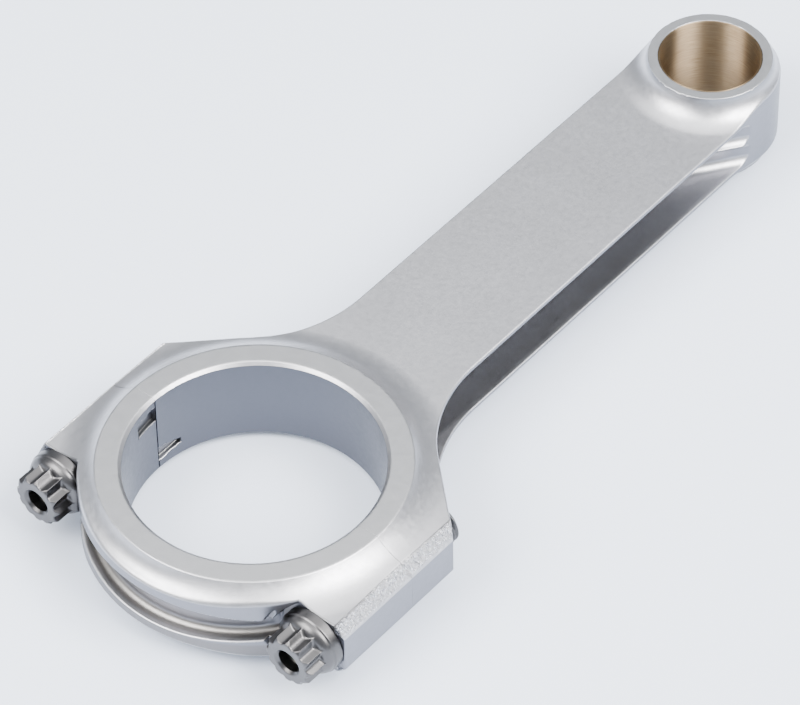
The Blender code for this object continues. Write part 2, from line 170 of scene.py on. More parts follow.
def bore_cut(rho, height, radius, half, chamfer):
    """A bore and its 45 degree mouths, as the field of the space it clears."""
    mouth = (rho - radius - chamfer + half - height) / math.sqrt(2)
    return np.minimum(rho - radius, mouth)


def draft(y, height):
    """The sloping draft face between a shoulder's side face and its top, steeper on the left."""
    rise = np.where(y > 0, BEAM_HALF - FAR_SIDE_FACE_HALF, BEAM_HALF - SIDE_FACE_HALF)
    foot = BEAM_HALF - rise
    length = np.hypot(rise, DRAFT_DEPTH)
    return ((np.abs(y) - SHOULDER_Y) * rise + (height - foot) * DRAFT_DEPTH) / length


def screw_cut(x, side, z, rod_side):
    """Hole for a screw with its sleeve seat, and the spot face under its head."""
    rho = np.hypot(side - SCREW_Y, z)
    seat = np.maximum(rho - SLEEVE_R - 0.1, np.abs(x) - 4.2)
    cut = np.minimum(rho - SCREW_HOLE_R + (0.16 if rod_side else 0.0), seat)
    if rod_side:
        return cut
    spot = both(rho - SPOT_FACE_R, x + CAP_SEAT, 0.25)
    outer = both(rho - OUTER_SPOT_R, x - OUTER_SPOT_X, 0.25)
    return np.minimum(cut, np.minimum(spot, outer))


def channel_cut(x, side, z):
    """Side channel of the H-section: a swept start, two cutter passes and a rising end."""
    height = np.abs(z)
    swept = x < CHANNEL_SWEEP_X
    centre_y = CHANNEL_FLOOR + CHANNEL_SWEEP_R
    sweep = np.hypot(x - CHANNEL_SWEEP_X, side - centre_y) - CHANNEL_SWEEP_R
    ramp = (x - CHANNEL_RAMP_X) * math.sin(CHANNEL_RAMP)
    ramp = ramp - (side - CHANNEL_FLOOR) * math.cos(CHANNEL_RAMP)
    deep = both(CHANNEL_FLOOR - side, ramp - LOBE_DROP, CHANNEL_RAMP_BLEND)
    deep = np.where(swept, sweep, deep)
    ridge = both(CHANNEL_FLOOR + CHANNEL_RIDGE - side, ramp, CHANNEL_RAMP_BLEND)
    ridge = np.where(swept, sweep + CHANNEL_RIDGE, ridge)
    lobe = np.abs(height - CHANNEL_HALF / 2) - CHANNEL_HALF / 2
    return np.minimum(both(deep, lobe, 2.3), both(ridge, height - CHANNEL_HALF, 1.2))


def tang_cut(away, y, z, narrower):
    """Notch for a bearing shell's tang, deepest at the joint face and running out along the bore."""
    middle = (TANG_LOW + TANG_HIGH) / 2
    half = (TANG_HIGH - TANG_LOW) / 2 - narrower * away / TANG_LENGTH
    floor = y - TANG_FLOOR + TANG_SLOPE * away
    across = np.maximum(np.abs(z - middle) - half, BORE_R - 3 - y)
    return np.maximum(both(floor, across, 0.25), np.maximum(away - TANG_LENGTH, -1.0 - away))


def body_skin(x, y, z):
    """The rod without its cap."""
    side, height = np.abs(y), np.abs(z)
    solid = both(rod_plan(x, y), envelope(x, y, z), 0.35)
    solid = both(solid, draft(y, height), 0.2)
    solid = both(solid, -channel_cut(x, side, z), 0.22)
    solid = np.maximum(solid, -screw_cut(x, side, z, True))
    rho = np.hypot(x, y)
    solid = both(solid, -bore_cut(rho, height, BORE_R, BIG_HALF, BORE_CHAMFER), 0.08)
    rho = np.hypot(x - CENTRE_DISTANCE, y)
    solid = both(solid, HOUSING_R - rho, 0.08)
    return both(solid, -tang_cut(x, y, -z, TANG_SCOOP), 0.12)


def body_field(x, y, z):
    """The rod up to the plane where the cap meets it."""
    return np.maximum(body_skin(x, y, z), PARTING - x)


def cap_skin(x, y, z):
    """The cap, as if it ran on past its joint face."""
    side, height = np.abs(y), np.abs(z)
    rho = np.hypot(x, y)
    shoulder = both(side - SHOULDER_Y, -CAP_SEAT - x, 0.3)
    plan = np.minimum(shoulder, rho - CAP_R)
    rounding = 0.35 + 0.45 * smooth_step(-x, CAP_SEAT, CAP_SEAT + 6)
    ears = both(plan, envelope(x, y, z), rounding)
    solid = both(ears, draft(y, height), 0.2)
    half = GROOVE_HALF - GROOVE_TAPER * (side / BORE_R) ** 2
    groove = both(CAP_R - GROOVE_DEPTH - rho, height - half, 1.7)
    groove = np.maximum(groove, x + CAP_SEAT + 0.3)
    solid = both(solid, -groove, 0.35)
    solid = both(solid, -screw_cut(x, side, z, False), 0.2)
    solid = both(solid, -bore_cut(rho, height, BORE_R, BIG_HALF, BORE_CHAMFER), 0.08)
    return both(solid, -tang_cut(-x, y, z, 0.0), 0.12)


def cap_field(x, y, z):
    """The cap up to the plane where it meets the rod."""
    return np.maximum(cap_skin(x, y, z), x + PARTING)


# ---- meshes from fields -----------------------------------------------------------------
def lines(*spans):
    """Grid lines from (start, end, step) spans, each evenly divided."""
    values = []
    for start, end, step in spans:
        count = max(int(round((end - start) / step)), 1)
        values.extend(start + (end - start) * i / count for i in range(count))
    values.append(spans[-1][1])
    return np.array(values)


def gradient(field, points, reach=0.004):
    """Slope of a field at scattered points, by central differences."""
    slope = np.empty_like(points)
    for axis in range(3):
        ahead, behind = points.copy(), points.copy()
        ahead[:, axis] += reach
        behind[:, axis] -= reach
        slope[:, axis] = (field(*ahead.T) - field(*behind.T)) / (2 * reach)
    return slope


CORNERS = [(a, b, c) for a in (0, 1) for b in (0, 1) for c in (0, 1)]
SETTLING_STEPS = 4
LEAST_SLOPE = 0.05
ON_SKIN = 0.02


def crossing_points(values, cells, grid):
    """For each cell, the mean of the places where the field is zero on the cell's edges."""
    total = np.zeros((len(cells), 3))
    hits = np.zeros(len(cells))
    for corner in CORNERS:
        for axis in range(3):
            if corner[axis]:
                continue
            near = cells + corner
            far = near.copy()
            far[:, axis] += 1
            low = values[tuple(near.T)].astype(float)
            high = values[tuple(far.T)].astype(float)
            cross = (low < 0) != (high < 0)
            share = np.where(cross, low / np.where(cross, low - high, 1.0), 0.0)
            spot = np.stack([grid[k][near[:, k]] for k in range(3)], axis=1)
            spot[:, axis] += share * (grid[axis][far[:, axis]] - grid[axis][near[:, axis]])
            total += spot * cross[:, None]
            hits += cross
    return total / hits[:, None]


def crossing_quads(inside, number):
    """A quad round each grid edge that the surface crosses, wound to face outwards."""
    quads = []
    for axis in range(3):
        other = [k for k in range(3) if k != axis]
        low = [slice(None)] * 3
        high = [slice(None)] * 3
        low[axis], high[axis] = slice(0, -1), slice(1, None)
        change = inside[tuple(low)] != inside[tuple(high)]
        edges = np.argwhere(change)
        keep = np.all(edges[:, other] > 0, axis=1)
        for k in other:
            keep &= edges[:, k] < inside.shape[k] - 1
        edges = edges[keep]
        leaving = inside[tuple(edges.T)]
        ring = []
        for back_a, back_b in ((1, 1), (0, 1), (0, 0), (1, 0)):
            cell = edges.copy()
            cell[:, other[0]] -= back_a
            cell[:, other[1]] -= back_b
            ring.append(number[tuple(cell.T)])
        ring = np.stack(ring, axis=1)
        flip = leaving if axis != 1 else ~leaving
        ring[~flip] = ring[~flip][:, ::-1]
        quads.append(ring)
    return np.concatenate(quads)


def joint_rim(points, cells, grid, skin):
    """Which points lie where the outer skin meets a joint face."""
    rim = np.abs(points[:, 0]) < 3 * PARTING
    at_corners = [skin(*[grid[k][cells[rim, k] + c[k]] for k in range(3)]) for c in CORNERS]
    rim[rim] = (np.min(at_corners, axis=0) < 0) & (np.max(at_corners, axis=0) > 0)
    return rim


def settle(points, field, skin, rim, room):
    """Moves points onto the surface, and those on a joint's rim onto the skin."""
    start = points.copy()
    for _ in range(SETTLING_STEPS):
        slope, value = gradient(field, points), field(*points.T)
        slope[rim], value[rim] = gradient(skin, points[rim]), skin(*points[rim].T)
        size = np.maximum(np.sum(slope * slope, axis=1), LEAST_SLOPE)
        points = points - slope * (value / size)[:, None]
        points = np.clip(points, start - room, start + room)
    return points


def field_mesh(field, skin, xs, ys, zs):
    """Corners, quads and outward normals of the surface where a field is zero.

    The skin is the same solid without its joint face. Points on the skin take its normals, so
    that the edge of the joint face isn't rounded by them.
    """
    grid = (xs, ys, zs)
    values = np.empty((len(xs), len(ys), len(zs)), dtype=np.float32)
    for i in range(0, len(xs), 8):
        values[i:i + 8] = field(*np.meshgrid(xs[i:i + 8], ys, zs, indexing="ij"))
    inside = values < 0
    count = np.zeros(tuple(n - 1 for n in values.shape), dtype=np.int8)
    for a, b, c in CORNERS:
        count += inside[a:a + count.shape[0], b:b + count.shape[1], c:c + count.shape[2]]
    cells = np.argwhere((count > 0) & (count < len(CORNERS)))
    number = np.full(count.shape, -1, dtype=np.int64)
    number[tuple(cells.T)] = np.arange(len(cells))
    points = crossing_points(values, cells, grid)
    quads = crossing_quads(inside, number)
    room = np.stack([np.diff(grid[k])[cells[:, k]] for k in range(3)], axis=1)
    rim = np.zeros(len(points), dtype=bool)
    if skin is not field:
        rim = joint_rim(points, cells, grid, skin)
    points = settle(points, field, skin, rim, room)
    on_skin = np.abs(skin(*points.T)) < ON_SKIN
    slope = np.where(on_skin[:, None], gradient(skin, points), gradient(field, points))
    normals = slope / np.maximum(np.linalg.norm(slope, axis=1), 1e-9)[:, None]
    return points, quads, normals


def field_object(name, field, skin, xs, ys, zs, local=to_world):
    """A smooth mesh object of a field, with its exact normals."""
    points, quads, normals = field_mesh(field, skin, xs, ys, zs)
    mesh = bpy.data.meshes.new(name)
    mesh.from_pydata(local(points).tolist(), [], quads.tolist())
    mesh.validate()
    mesh.polygons.foreach_set("use_smooth", np.ones(len(mesh.polygons), dtype=bool))
    if len(mesh.vertices) == len(normals):
        mesh.normals_split_custom_set_from_vertices(normals.tolist())
    made = bpy.data.objects.new(name, mesh)
    bpy.context.scene.collection.objects.link(made)
    print(name, len(mesh.vertices), "vertices", len(mesh.polygons), "faces")
    return made


STEP = 0.36


def around(values, low, high, step, tight=0.1):
    """Grid lines over a range, drawn close together at the listed flat faces."""
    spans = []
    at = low
    for value in values:
        spans.append((at, value - 2 * tight, step))
        spans.append((value - 2 * tight, value + 2 * tight, tight))
        at = value + 2 * tight
    spans.append((at, high, step))
    return lines(*spans)


CHAMFER_FOOT = BIG_HALF - BORE_CHAMFER
zs_small = around(
    [-SMALL_HALF, -BIG_HALF, -CHAMFER_FOOT, -BEAM_HALF, -CHANNEL_HALF,
     CHANNEL_HALF, BEAM_HALF, CHAMFER_FOOT, BIG_HALF, SMALL_HALF],
    -SMALL_HALF - 0.6, SMALL_HALF + 0.6, STEP,
)
zs_big = around(
    [-BIG_HALF, -CHAMFER_FOOT, -BEAM_HALF, -GROOVE_HALF, GROOVE_HALF, BEAM_HALF, CHAMFER_FOOT, BIG_HALF],
    -BIG_HALF - 0.6, BIG_HALF + 0.6, STEP,
)
ys = around([-SHOULDER_Y, -BEAM_HALF_WIDTH, BEAM_HALF_WIDTH, SHOULDER_Y], -42.0, 42.0, STEP)
# The first cells beside the joint face, which lies in the middle of the first one.
SEAM = 2 * PARTING
body_xs = lines(
    (-0.3, 0.0, 0.3), (0.0, SEAM, SEAM), (SEAM, 0.12, 0.06), (0.12, 44.0, STEP),
    (44.0, 52.0, 0.7), (52.0, 112.0, 1.5), (112.0, 168.6, STEP),
)
cap_xs = lines(
    (-36.8, OUTER_SPOT_X - 0.2, STEP), (OUTER_SPOT_X - 0.2, OUTER_SPOT_X + 0.2, 0.1),
    (OUTER_SPOT_X + 0.2, -CAP_SEAT - 0.2, STEP), (-CAP_SEAT - 0.2, -CAP_SEAT + 0.2, 0.1),
    (-CAP_SEAT + 0.2, -0.12, STEP), (-0.12, -SEAM, 0.06), (-SEAM, 0.0, SEAM), (0.0, 0.3, 0.3),
)
rod = field_object("rod_forging", body_field, body_skin, body_xs, ys, zs_small)
cap = field_object("cap_forging", cap_field, cap_skin, cap_xs, ys, zs_big)


# ---- cap screws -------------------------------------------------------------------------
HEAD_TOP = -8.75
FLANGE_R = 7.3
FLANGE_T = 2.2
DOME_INNER_R = 4.2
DOME_OUTER_R = 7.05
DOME_HEIGHT = 2.3
CROWN_R = 6.0
CROWN_ROOT = 4.95
CROWN_CHAMFER = 0.8
DIMPLE_R = 2.6
DIMPLE_DEPTH = 3.2
SINK_R = 3.25
PITCH = 1.058
THREAD_START = 23.0
THREAD_DEPTH = 0.55
THREAD_FADE = 0.8
WAIST = 0.25
TIP_CHAMFER = 0.5
SCREW_LENGTH = 39.7
CAD_HEAD_HEIGHT = 8.4
HEAD_LOWERING = 0.27


def screw_field(x, y, z):
    """A flanged twelve-point cap screw along +X, from its head's underside."""
    rho = np.hypot(y, z)
    angle = np.arctan2(z, y)
    tooth = np.abs(np.sin(6 * angle))
    crown_r = CROWN_R - (CROWN_R - CROWN_ROOT) * tooth
    crown = both(rho - crown_r, HEAD_TOP - x, 0.3)
    bevel = (rho - x + HEAD_TOP - CROWN_R + CROWN_CHAMFER) / math.sqrt(2)
    crown = np.maximum(both(crown, bevel, 0.15), x)
    flange = both(both(rho - FLANGE_R, -FLANGE_T - x, 0.3), x, 0.2)
    out = np.maximum(rho - DOME_INNER_R, 0.0) / (DOME_OUTER_R - DOME_INNER_R)
    rise = np.minimum(x + FLANGE_T, 0.0) / DOME_HEIGHT
    dome = (np.hypot(out, rise) - 1) * DOME_HEIGHT
    dome = np.maximum(dome, x)
    head = either(either(flange, dome, 0.25), crown, 0.45)
    dimple = both(rho - DIMPLE_R, x - HEAD_TOP - DIMPLE_DEPTH, 0.8)
    sink = (rho - SINK_R + x - HEAD_TOP) / math.sqrt(2)
    head = both(head, -np.minimum(dimple, sink), 0.12)
    turn = angle / (2 * math.pi) * PITCH
    wave = np.abs(np.mod(x - turn, PITCH) / PITCH - 0.5) * 2
    threaded = np.clip((x - THREAD_START) / THREAD_FADE, 0.0, 1.0)
    depth = threaded * THREAD_DEPTH * np.clip(wave * 1.15 - 0.15, 0.0, 1.0)
    shank = rho - SCREW_R + depth + WAIST * (1 - threaded)
    tip = (rho + x - SCREW_LENGTH - SCREW_R + TIP_CHAMFER) / math.sqrt(2)
    shank = both(np.maximum(shank, tip), x - SCREW_LENGTH, 0.15)
    shank = np.maximum(shank, -x - 0.5)
    return either(head, shank, 0.3)


FINE = 0.17
screw_xs = lines(
    (HEAD_TOP - 0.4, 0.4, FINE), (0.4, THREAD_START - 0.4, 1.2),
    (THREAD_START - 0.4, SCREW_LENGTH - 3.0, 0.26), (SCREW_LENGTH - 3.0, SCREW_LENGTH + 0.4, FINE),
)
screw_ys = lines((-FLANGE_R - 0.5, FLANGE_R + 0.5, FINE))
screws = []
for node, side in (("cap_screw_left", 1), ("cap_screw_right", -1)):
    seat_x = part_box(node)[0][0] / MM + CAD_HEAD_HEIGHT + HEAD_LOWERING
    seat = np.array([seat_x, side * SCREW_Y, MID_Z])

    def place(points, seat=seat):
        return (points + seat) * MM

    screw = field_object("fine_" + node, screw_field, screw_field, screw_xs, screw_ys, screw_ys, place)
    screws.append(screw)
    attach(screw, "screw_left" if side > 0 else "screw_right")
    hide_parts(node)


# ---- turned pieces ----------------------------------------------------------------------
def turned(name, profile, steps, centre, along_x=False):
    """A closed ring from (radius, height) points, with flat faces kept sharp."""
    corners, faces = [], []
    count = len(profile)
    for i in range(steps):
        angle = 2 * math.pi * i / steps
        for radius, height in profile:
            a, b = radius * math.cos(angle), radius * math.sin(angle)
            corners.append((height, a, b) if along_x else (a, b, height))
    for i in range(steps):
        j = (i + 1) % steps
        for k in range(count):
            m = (k + 1) % count
            faces.append((i * count + k, i * count + m, j * count + m, j * count + k))
    mesh = bpy.data.meshes.new(name)
    mesh.from_pydata(((np.array(corners) + centre) * MM).tolist(), [], faces)
    mesh.shade_smooth()
    mesh.set_sharp_from_angle(angle=math.radians(35))
    made = bpy.data.objects.new(name, mesh)
    bpy.context.scene.collection.objects.link(made)
    return made


pin_centre = (AXIS_X + CENTRE_DISTANCE, 0.0, MID_Z)
bushing_edge = [
    (PIN_R, SMALL_HALF - 0.3), (PIN_R + 0.12, SMALL_HALF - 0.08), (PIN_R + 0.3, SMALL_HALF),
    (HOUSING_R - 0.1, SMALL_HALF), (HOUSING_R - 0.02, SMALL_HALF - 0.08),
]
bushing_profile = bushing_edge[::-1] + [(radius, -height) for radius, height in bushing_edge]
bushing = turned("fine_pin_bushing", bushing_profile, 256, pin_centre)
SLEEVE_HALF = 4.0
SLEEVE_INNER_R = 5.1
sleeve_edge = [
    (SLEEVE_INNER_R, SLEEVE_HALF - 0.2), (SLEEVE_INNER_R + 0.2, SLEEVE_HALF),
    (SLEEVE_INNER_R + 0.3, SLEEVE_HALF), (SLEEVE_R, SLEEVE_HALF - 0.3),
]
sleeve_profile = sleeve_edge + [(radius, -height) for radius, height in reversed(sleeve_edge)]
sleeves = []
for node, side in (("dowel_sleeve_left", 1), ("dowel_sleeve_right", -1)):
    centre = (AXIS_X, side * SCREW_Y, MID_Z)
    piece = turned("fine_" + node, sleeve_profile, 96, centre, along_x=True)
    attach(piece, "rod")
    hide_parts(node)
    sleeves.append(piece)

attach(rod, "rod")
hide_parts("rod_body")
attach(cap, "cap")
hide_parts("rod_cap")
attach(bushing, "rod")
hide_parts("pin_bushing")


# ---- materials --------------------------------------------------------------------------
class Nodes:
    """A short way to write a material's node tree."""

    def __init__(self, name):
        self.material = bpy.data.materials.new(name)
        self.material.use_nodes = True
        self.tree = self.material.node_tree
        self.shader = self.tree.nodes["Principled BSDF"]
        coords = self.tree.nodes.new("ShaderNodeTexCoord")
        self.place = coords.outputs["Object"]

    def link(self, value, socket):
        if isinstance(value, (int, float, tuple)):
            socket.default_value = value
        else:
            self.tree.links.new(value, socket)

    def math(self, operation, a, b=0.0):
        node = self.tree.nodes.new("ShaderNodeMath")
        node.operation = operation
        self.link(a, node.inputs[0])
        self.link(b, node.inputs[1])
        return node.outputs[0]

    def axes(self, centre):
        """Distances along X, Y and Z from a centre."""
        split = self.tree.nodes.new("ShaderNodeSeparateXYZ")
        self.tree.links.new(self.place, split.inputs[0])
        return [self.math("SUBTRACT", split.outputs[k], centre[k]) for k in range(3)]

    def every(self, *shares):
        """The product of several shares."""
        product = shares[0]
        for share in shares[1:]:
            product = self.math("MULTIPLY", product, share)
        return product

    def length(self, a, b):
        squares = self.math("ADD", self.math("MULTIPLY", a, a), self.math("MULTIPLY", b, b))
        return self.math("SQRT", squares)

    def noise(self, scale, detail=3.0, roughness=0.55, vector=None):
        node = self.tree.nodes.new("ShaderNodeTexNoise")
        self.link(scale, node.inputs["Scale"])
        self.link(detail, node.inputs["Detail"])
        self.link(roughness, node.inputs["Roughness"])
        self.tree.links.new(vector or self.place, node.inputs["Vector"])
        return node.outputs["Fac"]

    def ramp(self, value, low, high, to_low, to_high):
        node = self.tree.nodes.new("ShaderNodeMapRange")
        self.link(value, node.inputs["Value"])
        ends = {"From Min": low, "From Max": high, "To Min": to_low, "To Max": to_high}
        for name, number in ends.items():
            node.inputs[name].default_value = number
        return node.outputs["Result"]

    def fade(self, value, start, end):
        """A share that goes from 0 to 1 between two distances in millimetres."""
        return self.ramp(value, start * MM, end * MM, 0.0, 1.0)

    def mix(self, share, first, second):
        node = self.tree.nodes.new("ShaderNodeMix")
        node.data_type = "RGBA"
        self.link(share, node.inputs["Factor"])
        for socket, value in ((node.inputs[6], first), (node.inputs[7], second)):
            self.link((*value, 1.0) if isinstance(value, tuple) else value, socket)
        return node.outputs[2]

    def bump(self, height, strength, distance, normal=None):
        node = self.tree.nodes.new("ShaderNodeBump")
        node.inputs["Strength"].default_value = strength
        node.inputs["Distance"].default_value = distance
        self.tree.links.new(height, node.inputs["Height"])
        if normal is not None:
            self.tree.links.new(normal, node.inputs["Normal"])
        return node.outputs["Normal"]

    def set(self, name, value):
        self.link((*value, 1.0) if isinstance(value, tuple) else value, self.shader.inputs[name])


STEEL_LIGHT = (0.57, 0.562, 0.576)
STEEL_DARK = (0.49, 0.483, 0.494)
MACHINED = (0.43, 0.43, 0.43)
PAINTED_GLINT = (0.74, 0.75, 0.79)
GROOVE_BROWN_SHADE = (0.15, 0.135, 0.115)
POCKET_PAINTED_SHADE = (0.03, 0.03, 0.03)
CHANNEL_PAINTED_SHADE = (0.10, 0.10, 0.105)
CRESCENT_PAINTED_SHADE = (0.06, 0.06, 0.055)
NOTCH_PAINTED_SHADE = (0.04, 0.042, 0.04)
RECESS_PAINTED_SHADE = (0.035, 0.035, 0.03)
STEEP_SHADE = (0.18, 0.184, 0.208)
BORE_SHADE = (0.10, 0.105, 0.125)
SCREW_LIGHT = (0.125, 0.121, 0.121)
SCREW_DARK = (0.09, 0.087, 0.087)
SLEEVE_LIGHT = (0.46, 0.46, 0.47)
SLEEVE_DARK = (0.40, 0.40, 0.41)
BRONZE_DARK = (0.24, 0.165, 0.095)
BRONZE_LIGHT = (0.37, 0.28, 0.175)
BRONZE_STAIN = (0.28, 0.21, 0.14)
FLOOR_DARK = (0.69, 0.745, 0.85)
FLOOR_LIGHT = (0.72, 0.775, 0.875)


def steel(name, light, dark, rough, grain, recess_shade_share=0.0):
    """Satin steel with fine grain and soft patches of colour and gloss, and painted shade in a screw's
    recess.
    """
    n = Nodes(name)
    color = n.mix(n.ramp(n.noise(55.0, 4.0), 0.3, 0.7, 0.0, 1.0), dark, light)
    x, y, z = n.axes((AXIS_X * MM, 0.0, MID_Z * MM))
    about_screw = n.length(n.math("SUBTRACT", n.math("ABSOLUTE", y), SCREW_Y * MM), z)
    # painted shade in the recess of a screw's head
    recess_shade = n.every(
        n.fade(about_screw, DIMPLE_R + 0.15, DIMPLE_R - 0.1),
        n.fade(x, -CAP_SEAT - 3.0, -CAP_SEAT - 5.0),
        recess_shade_share,
    )
    n.set("Base Color", n.mix(recess_shade, color, RECESS_PAINTED_SHADE))
    n.set("Roughness", n.ramp(n.noise(900.0, 3.0), 0.25, 0.75, rough - 0.05, rough + 0.05))
    n.set("Normal", n.bump(n.noise(3800.0, 2.0), grain, 0.00003))
    n.set("Metallic", 1.0)
    return n.material


def distances(n):
    """The distances that the forgings' masks are drawn from."""
    x, y, z = n.axes((AXIS_X * MM, 0.0, MID_Z * MM))
    side, height = n.math("ABSOLUTE", y), n.math("ABSOLUTE", z)
    about_screw = n.length(n.math("SUBTRACT", side, SCREW_Y * MM), z)
    return SimpleNamespace(
        x=x, z=z, side=side, height=height, rho=n.length(x, y), about_screw=about_screw,
    )


def groove_shade_mask(n, at, on_back):
    """The floor and walls of the groove round the cap's back, darkened with brown-tinted painted shade.
    """
    return n.every(on_back, n.fade(at.rho, CAP_R - 0.15, CAP_R - 1.3), n.fade(at.height, 6.2, 5.8))


def pocket_shade_mask(n, at):
    """The space round a screw's flange, just above its seat, darkened with painted shade."""
    return n.every(
        n.fade(at.about_screw, SPOT_FACE_R + 0.5, SPOT_FACE_R + 0.1),
        n.fade(at.x, -CAP_SEAT - 3.6, -CAP_SEAT - 2.4),
        n.fade(at.x, -CAP_SEAT + 0.6, -CAP_SEAT + 0.1),
        n.fade(at.side, SHOULDER_Y - 0.5, SHOULDER_Y - 1.0),
    )


def channel_shade_mask(n, at):
    """Painted shade in the beam's side channels, fading out towards the ramp at the pin end."""
    return n.every(
        n.fade(at.height, CHANNEL_HALF + 0.2, CHANNEL_HALF - 0.1),
        n.fade(at.side, BEAM_HALF_WIDTH - 0.2, BEAM_HALF_WIDTH - 1.2),
        n.fade(at.x, 145.0, 131.0),
        n.fade(at.x, 22.0, 26.0),
        n.fade(at.rho, BORE_R + 0.8, BORE_R + 1.5),
    )


def crescent_shade_mask(n, at):
    """The inner wall of the wide counterbore behind a screw's head, darkened with painted shade."""
    return n.every(
        n.fade(at.about_screw, OUTER_SPOT_R + 0.2, OUTER_SPOT_R),
        n.fade(at.x, OUTER_SPOT_X - 2.2, OUTER_SPOT_X - 1.6),
        n.fade(at.x, OUTER_SPOT_X + 0.2, OUTER_SPOT_X),
        n.fade(at.side, SCREW_Y + 2.0, SCREW_Y),
    )


def notch_shade_mask(n, at):
    """The floors of the tang notches in the bore wall, darkened with painted shade."""
    return n.every(
        n.fade(at.rho, BORE_R + 0.1, BORE_R + 0.4),
        n.fade(at.rho, BORE_R + 1.6, BORE_R + 1.4),
        n.fade(at.height, BIG_HALF - 1.6, BIG_HALF - 2.0),
    )


def bore_mask(n, at):
    """The crank bore's wall between its two chamfers."""
    return n.every(
        n.fade(at.rho, BORE_R + 0.1, BORE_R + 0.05),
        n.fade(at.height, CHAMFER_FOOT + 0.03, CHAMFER_FOOT - 0.03),
    )


def draft_mask(n, at):
    """The rough draft faces along the shoulders' edges."""
    return n.every(
        n.fade(at.height, SIDE_FACE_HALF + 0.1, SIDE_FACE_HALF + 0.5),
        n.fade(at.side, SHOULDER_Y - DRAFT_DEPTH - 0.5, SHOULDER_Y - DRAFT_DEPTH),
    )


def steep_mask(n):
    """Faces that stand upright, wherever they look."""
    split = n.tree.nodes.new("ShaderNodeSeparateXYZ")
    n.tree.links.new(n.tree.nodes.new("ShaderNodeNewGeometry").outputs["Normal"], split.inputs[0])
    return n.ramp(n.math("ABSOLUTE", split.outputs[2]), 0.5, 0.2, 0.0, 1.0)


def forging(name):
    """Blasted steel with rough drafts, painted glints on them, and painted shade in its hollows and on
    upright faces.
    """
    n = Nodes(name)
    at = distances(n)
    patches = n.ramp(n.noise(60.0, 5.0, 0.6), 0.3, 0.7, 0.0, 1.0)
    mottle = n.ramp(n.noise(420.0, 4.0, 0.65), 0.35, 0.65, 0.0, 1.0)
    shade = n.math("ADD", n.math("MULTIPLY", patches, 0.6), n.math("MULTIPLY", mottle, 0.4))
    color = n.mix(shade, STEEL_DARK, STEEL_LIGHT)
    on_back = n.fade(at.x, -CAP_SEAT, -CAP_SEAT - 0.5)
    steep = steep_mask(n)
    rough_draft = draft_mask(n, at)
    # specks for painted glints on the rough drafts
    glint_specks = n.ramp(n.noise(1500.0, 2.0, 0.6), 0.56, 0.64, 0.0, 1.0)
    layers = (
        (n.fade(at.height, BIG_HALF - 0.1, BIG_HALF - 0.02), 0.7, MACHINED),
        # painted shade, brown-tinted, in the groove round the cap's back
        (groove_shade_mask(n, at, on_back), 0.8, GROOVE_BROWN_SHADE),
        # painted shade round the screw flanges
        (pocket_shade_mask(n, at), 0.85, POCKET_PAINTED_SHADE),
        # painted shade in the side channels
        (channel_shade_mask(n, at), 0.7, CHANNEL_PAINTED_SHADE),
        # painted shade on the counterbore walls
        (crescent_shade_mask(n, at), 0.85, CRESCENT_PAINTED_SHADE),
        # painted shade in the tang notches
        (notch_shade_mask(n, at), 0.85, NOTCH_PAINTED_SHADE),
        (steep, 0.92, STEEP_SHADE),
        (bore_mask(n, at), 0.9, BORE_SHADE),
        # painted shadow, brown-tinted, on the upright faces of the lower flange behind the cap
        (n.every(on_back, steep, n.fade(at.z, -3.9, -4.6)), 0.5, GROOVE_BROWN_SHADE),
        # painted glints: bright specks on the rough drafts
        (n.every(glint_specks, rough_draft), 0.9, PAINTED_GLINT),
    )
    for mask, strength, tint in layers:
        color = n.mix(n.math("MULTIPLY", mask, strength), color, tint)
    n.set("Base Color", color)
    pits = n.every(n.ramp(n.noise(1300.0, 3.0, 0.7), 0.3, 0.7, 0.0, 1.0), rough_draft)
    grain = n.bump(n.noise(3800.0, 2.0), 0.35, 0.00003)
    grain = n.bump(mottle, 0.12, 0.00008, grain)
    n.set("Normal", n.bump(pits, 1.0, 0.0005, grain))
    gloss = n.ramp(n.noise(900.0, 3.0), 0.25, 0.75, 0.31, 0.41)
    n.set("Roughness", n.math("SUBTRACT", gloss, n.math("MULTIPLY", rough_draft, 0.08)))
    n.set("Metallic", 1.0)
    return n.material


def bronze():
    """Honed bronze with fine scratches round the bore."""
    n = Nodes("honed_bronze")
    x, y, z = n.axes((pin_centre[0] * MM, 0.0, MID_Z * MM))
    angle = n.math("ARCTAN2", y, x)
    join = n.tree.nodes.new("ShaderNodeCombineXYZ")
    n.link(n.math("MULTIPLY", angle, 1.2), join.inputs[0])
    n.link(n.math("MULTIPLY", z, 1400.0), join.inputs[1])
    scratches = n.noise(2.2, 3.0, 0.6, join.outputs[0])
    stain = n.ramp(n.noise(240.0, 3.0), 0.35, 0.65, 0.0, 0.5)
    color = n.mix(n.ramp(scratches, 0.3, 0.7, 0.0, 1.0), BRONZE_DARK, BRONZE_LIGHT)
    n.set("Base Color", n.mix(stain, color, BRONZE_STAIN))
    n.set("Roughness", n.ramp(scratches, 0.3, 0.7, 0.40, 0.48))
    n.set("Normal", n.bump(scratches, 0.4, 0.00004))
    n.set("Metallic", 1.0)
    n.set("Anisotropic", 1.0)
    n.set("Anisotropic Rotation", 0.25)
    tangent = n.tree.nodes.new("ShaderNodeTangent")
    tangent.direction_type = "RADIAL"
    tangent.axis = "Z"
    n.set("Tangent", tangent.outputs[0])
    return n.material


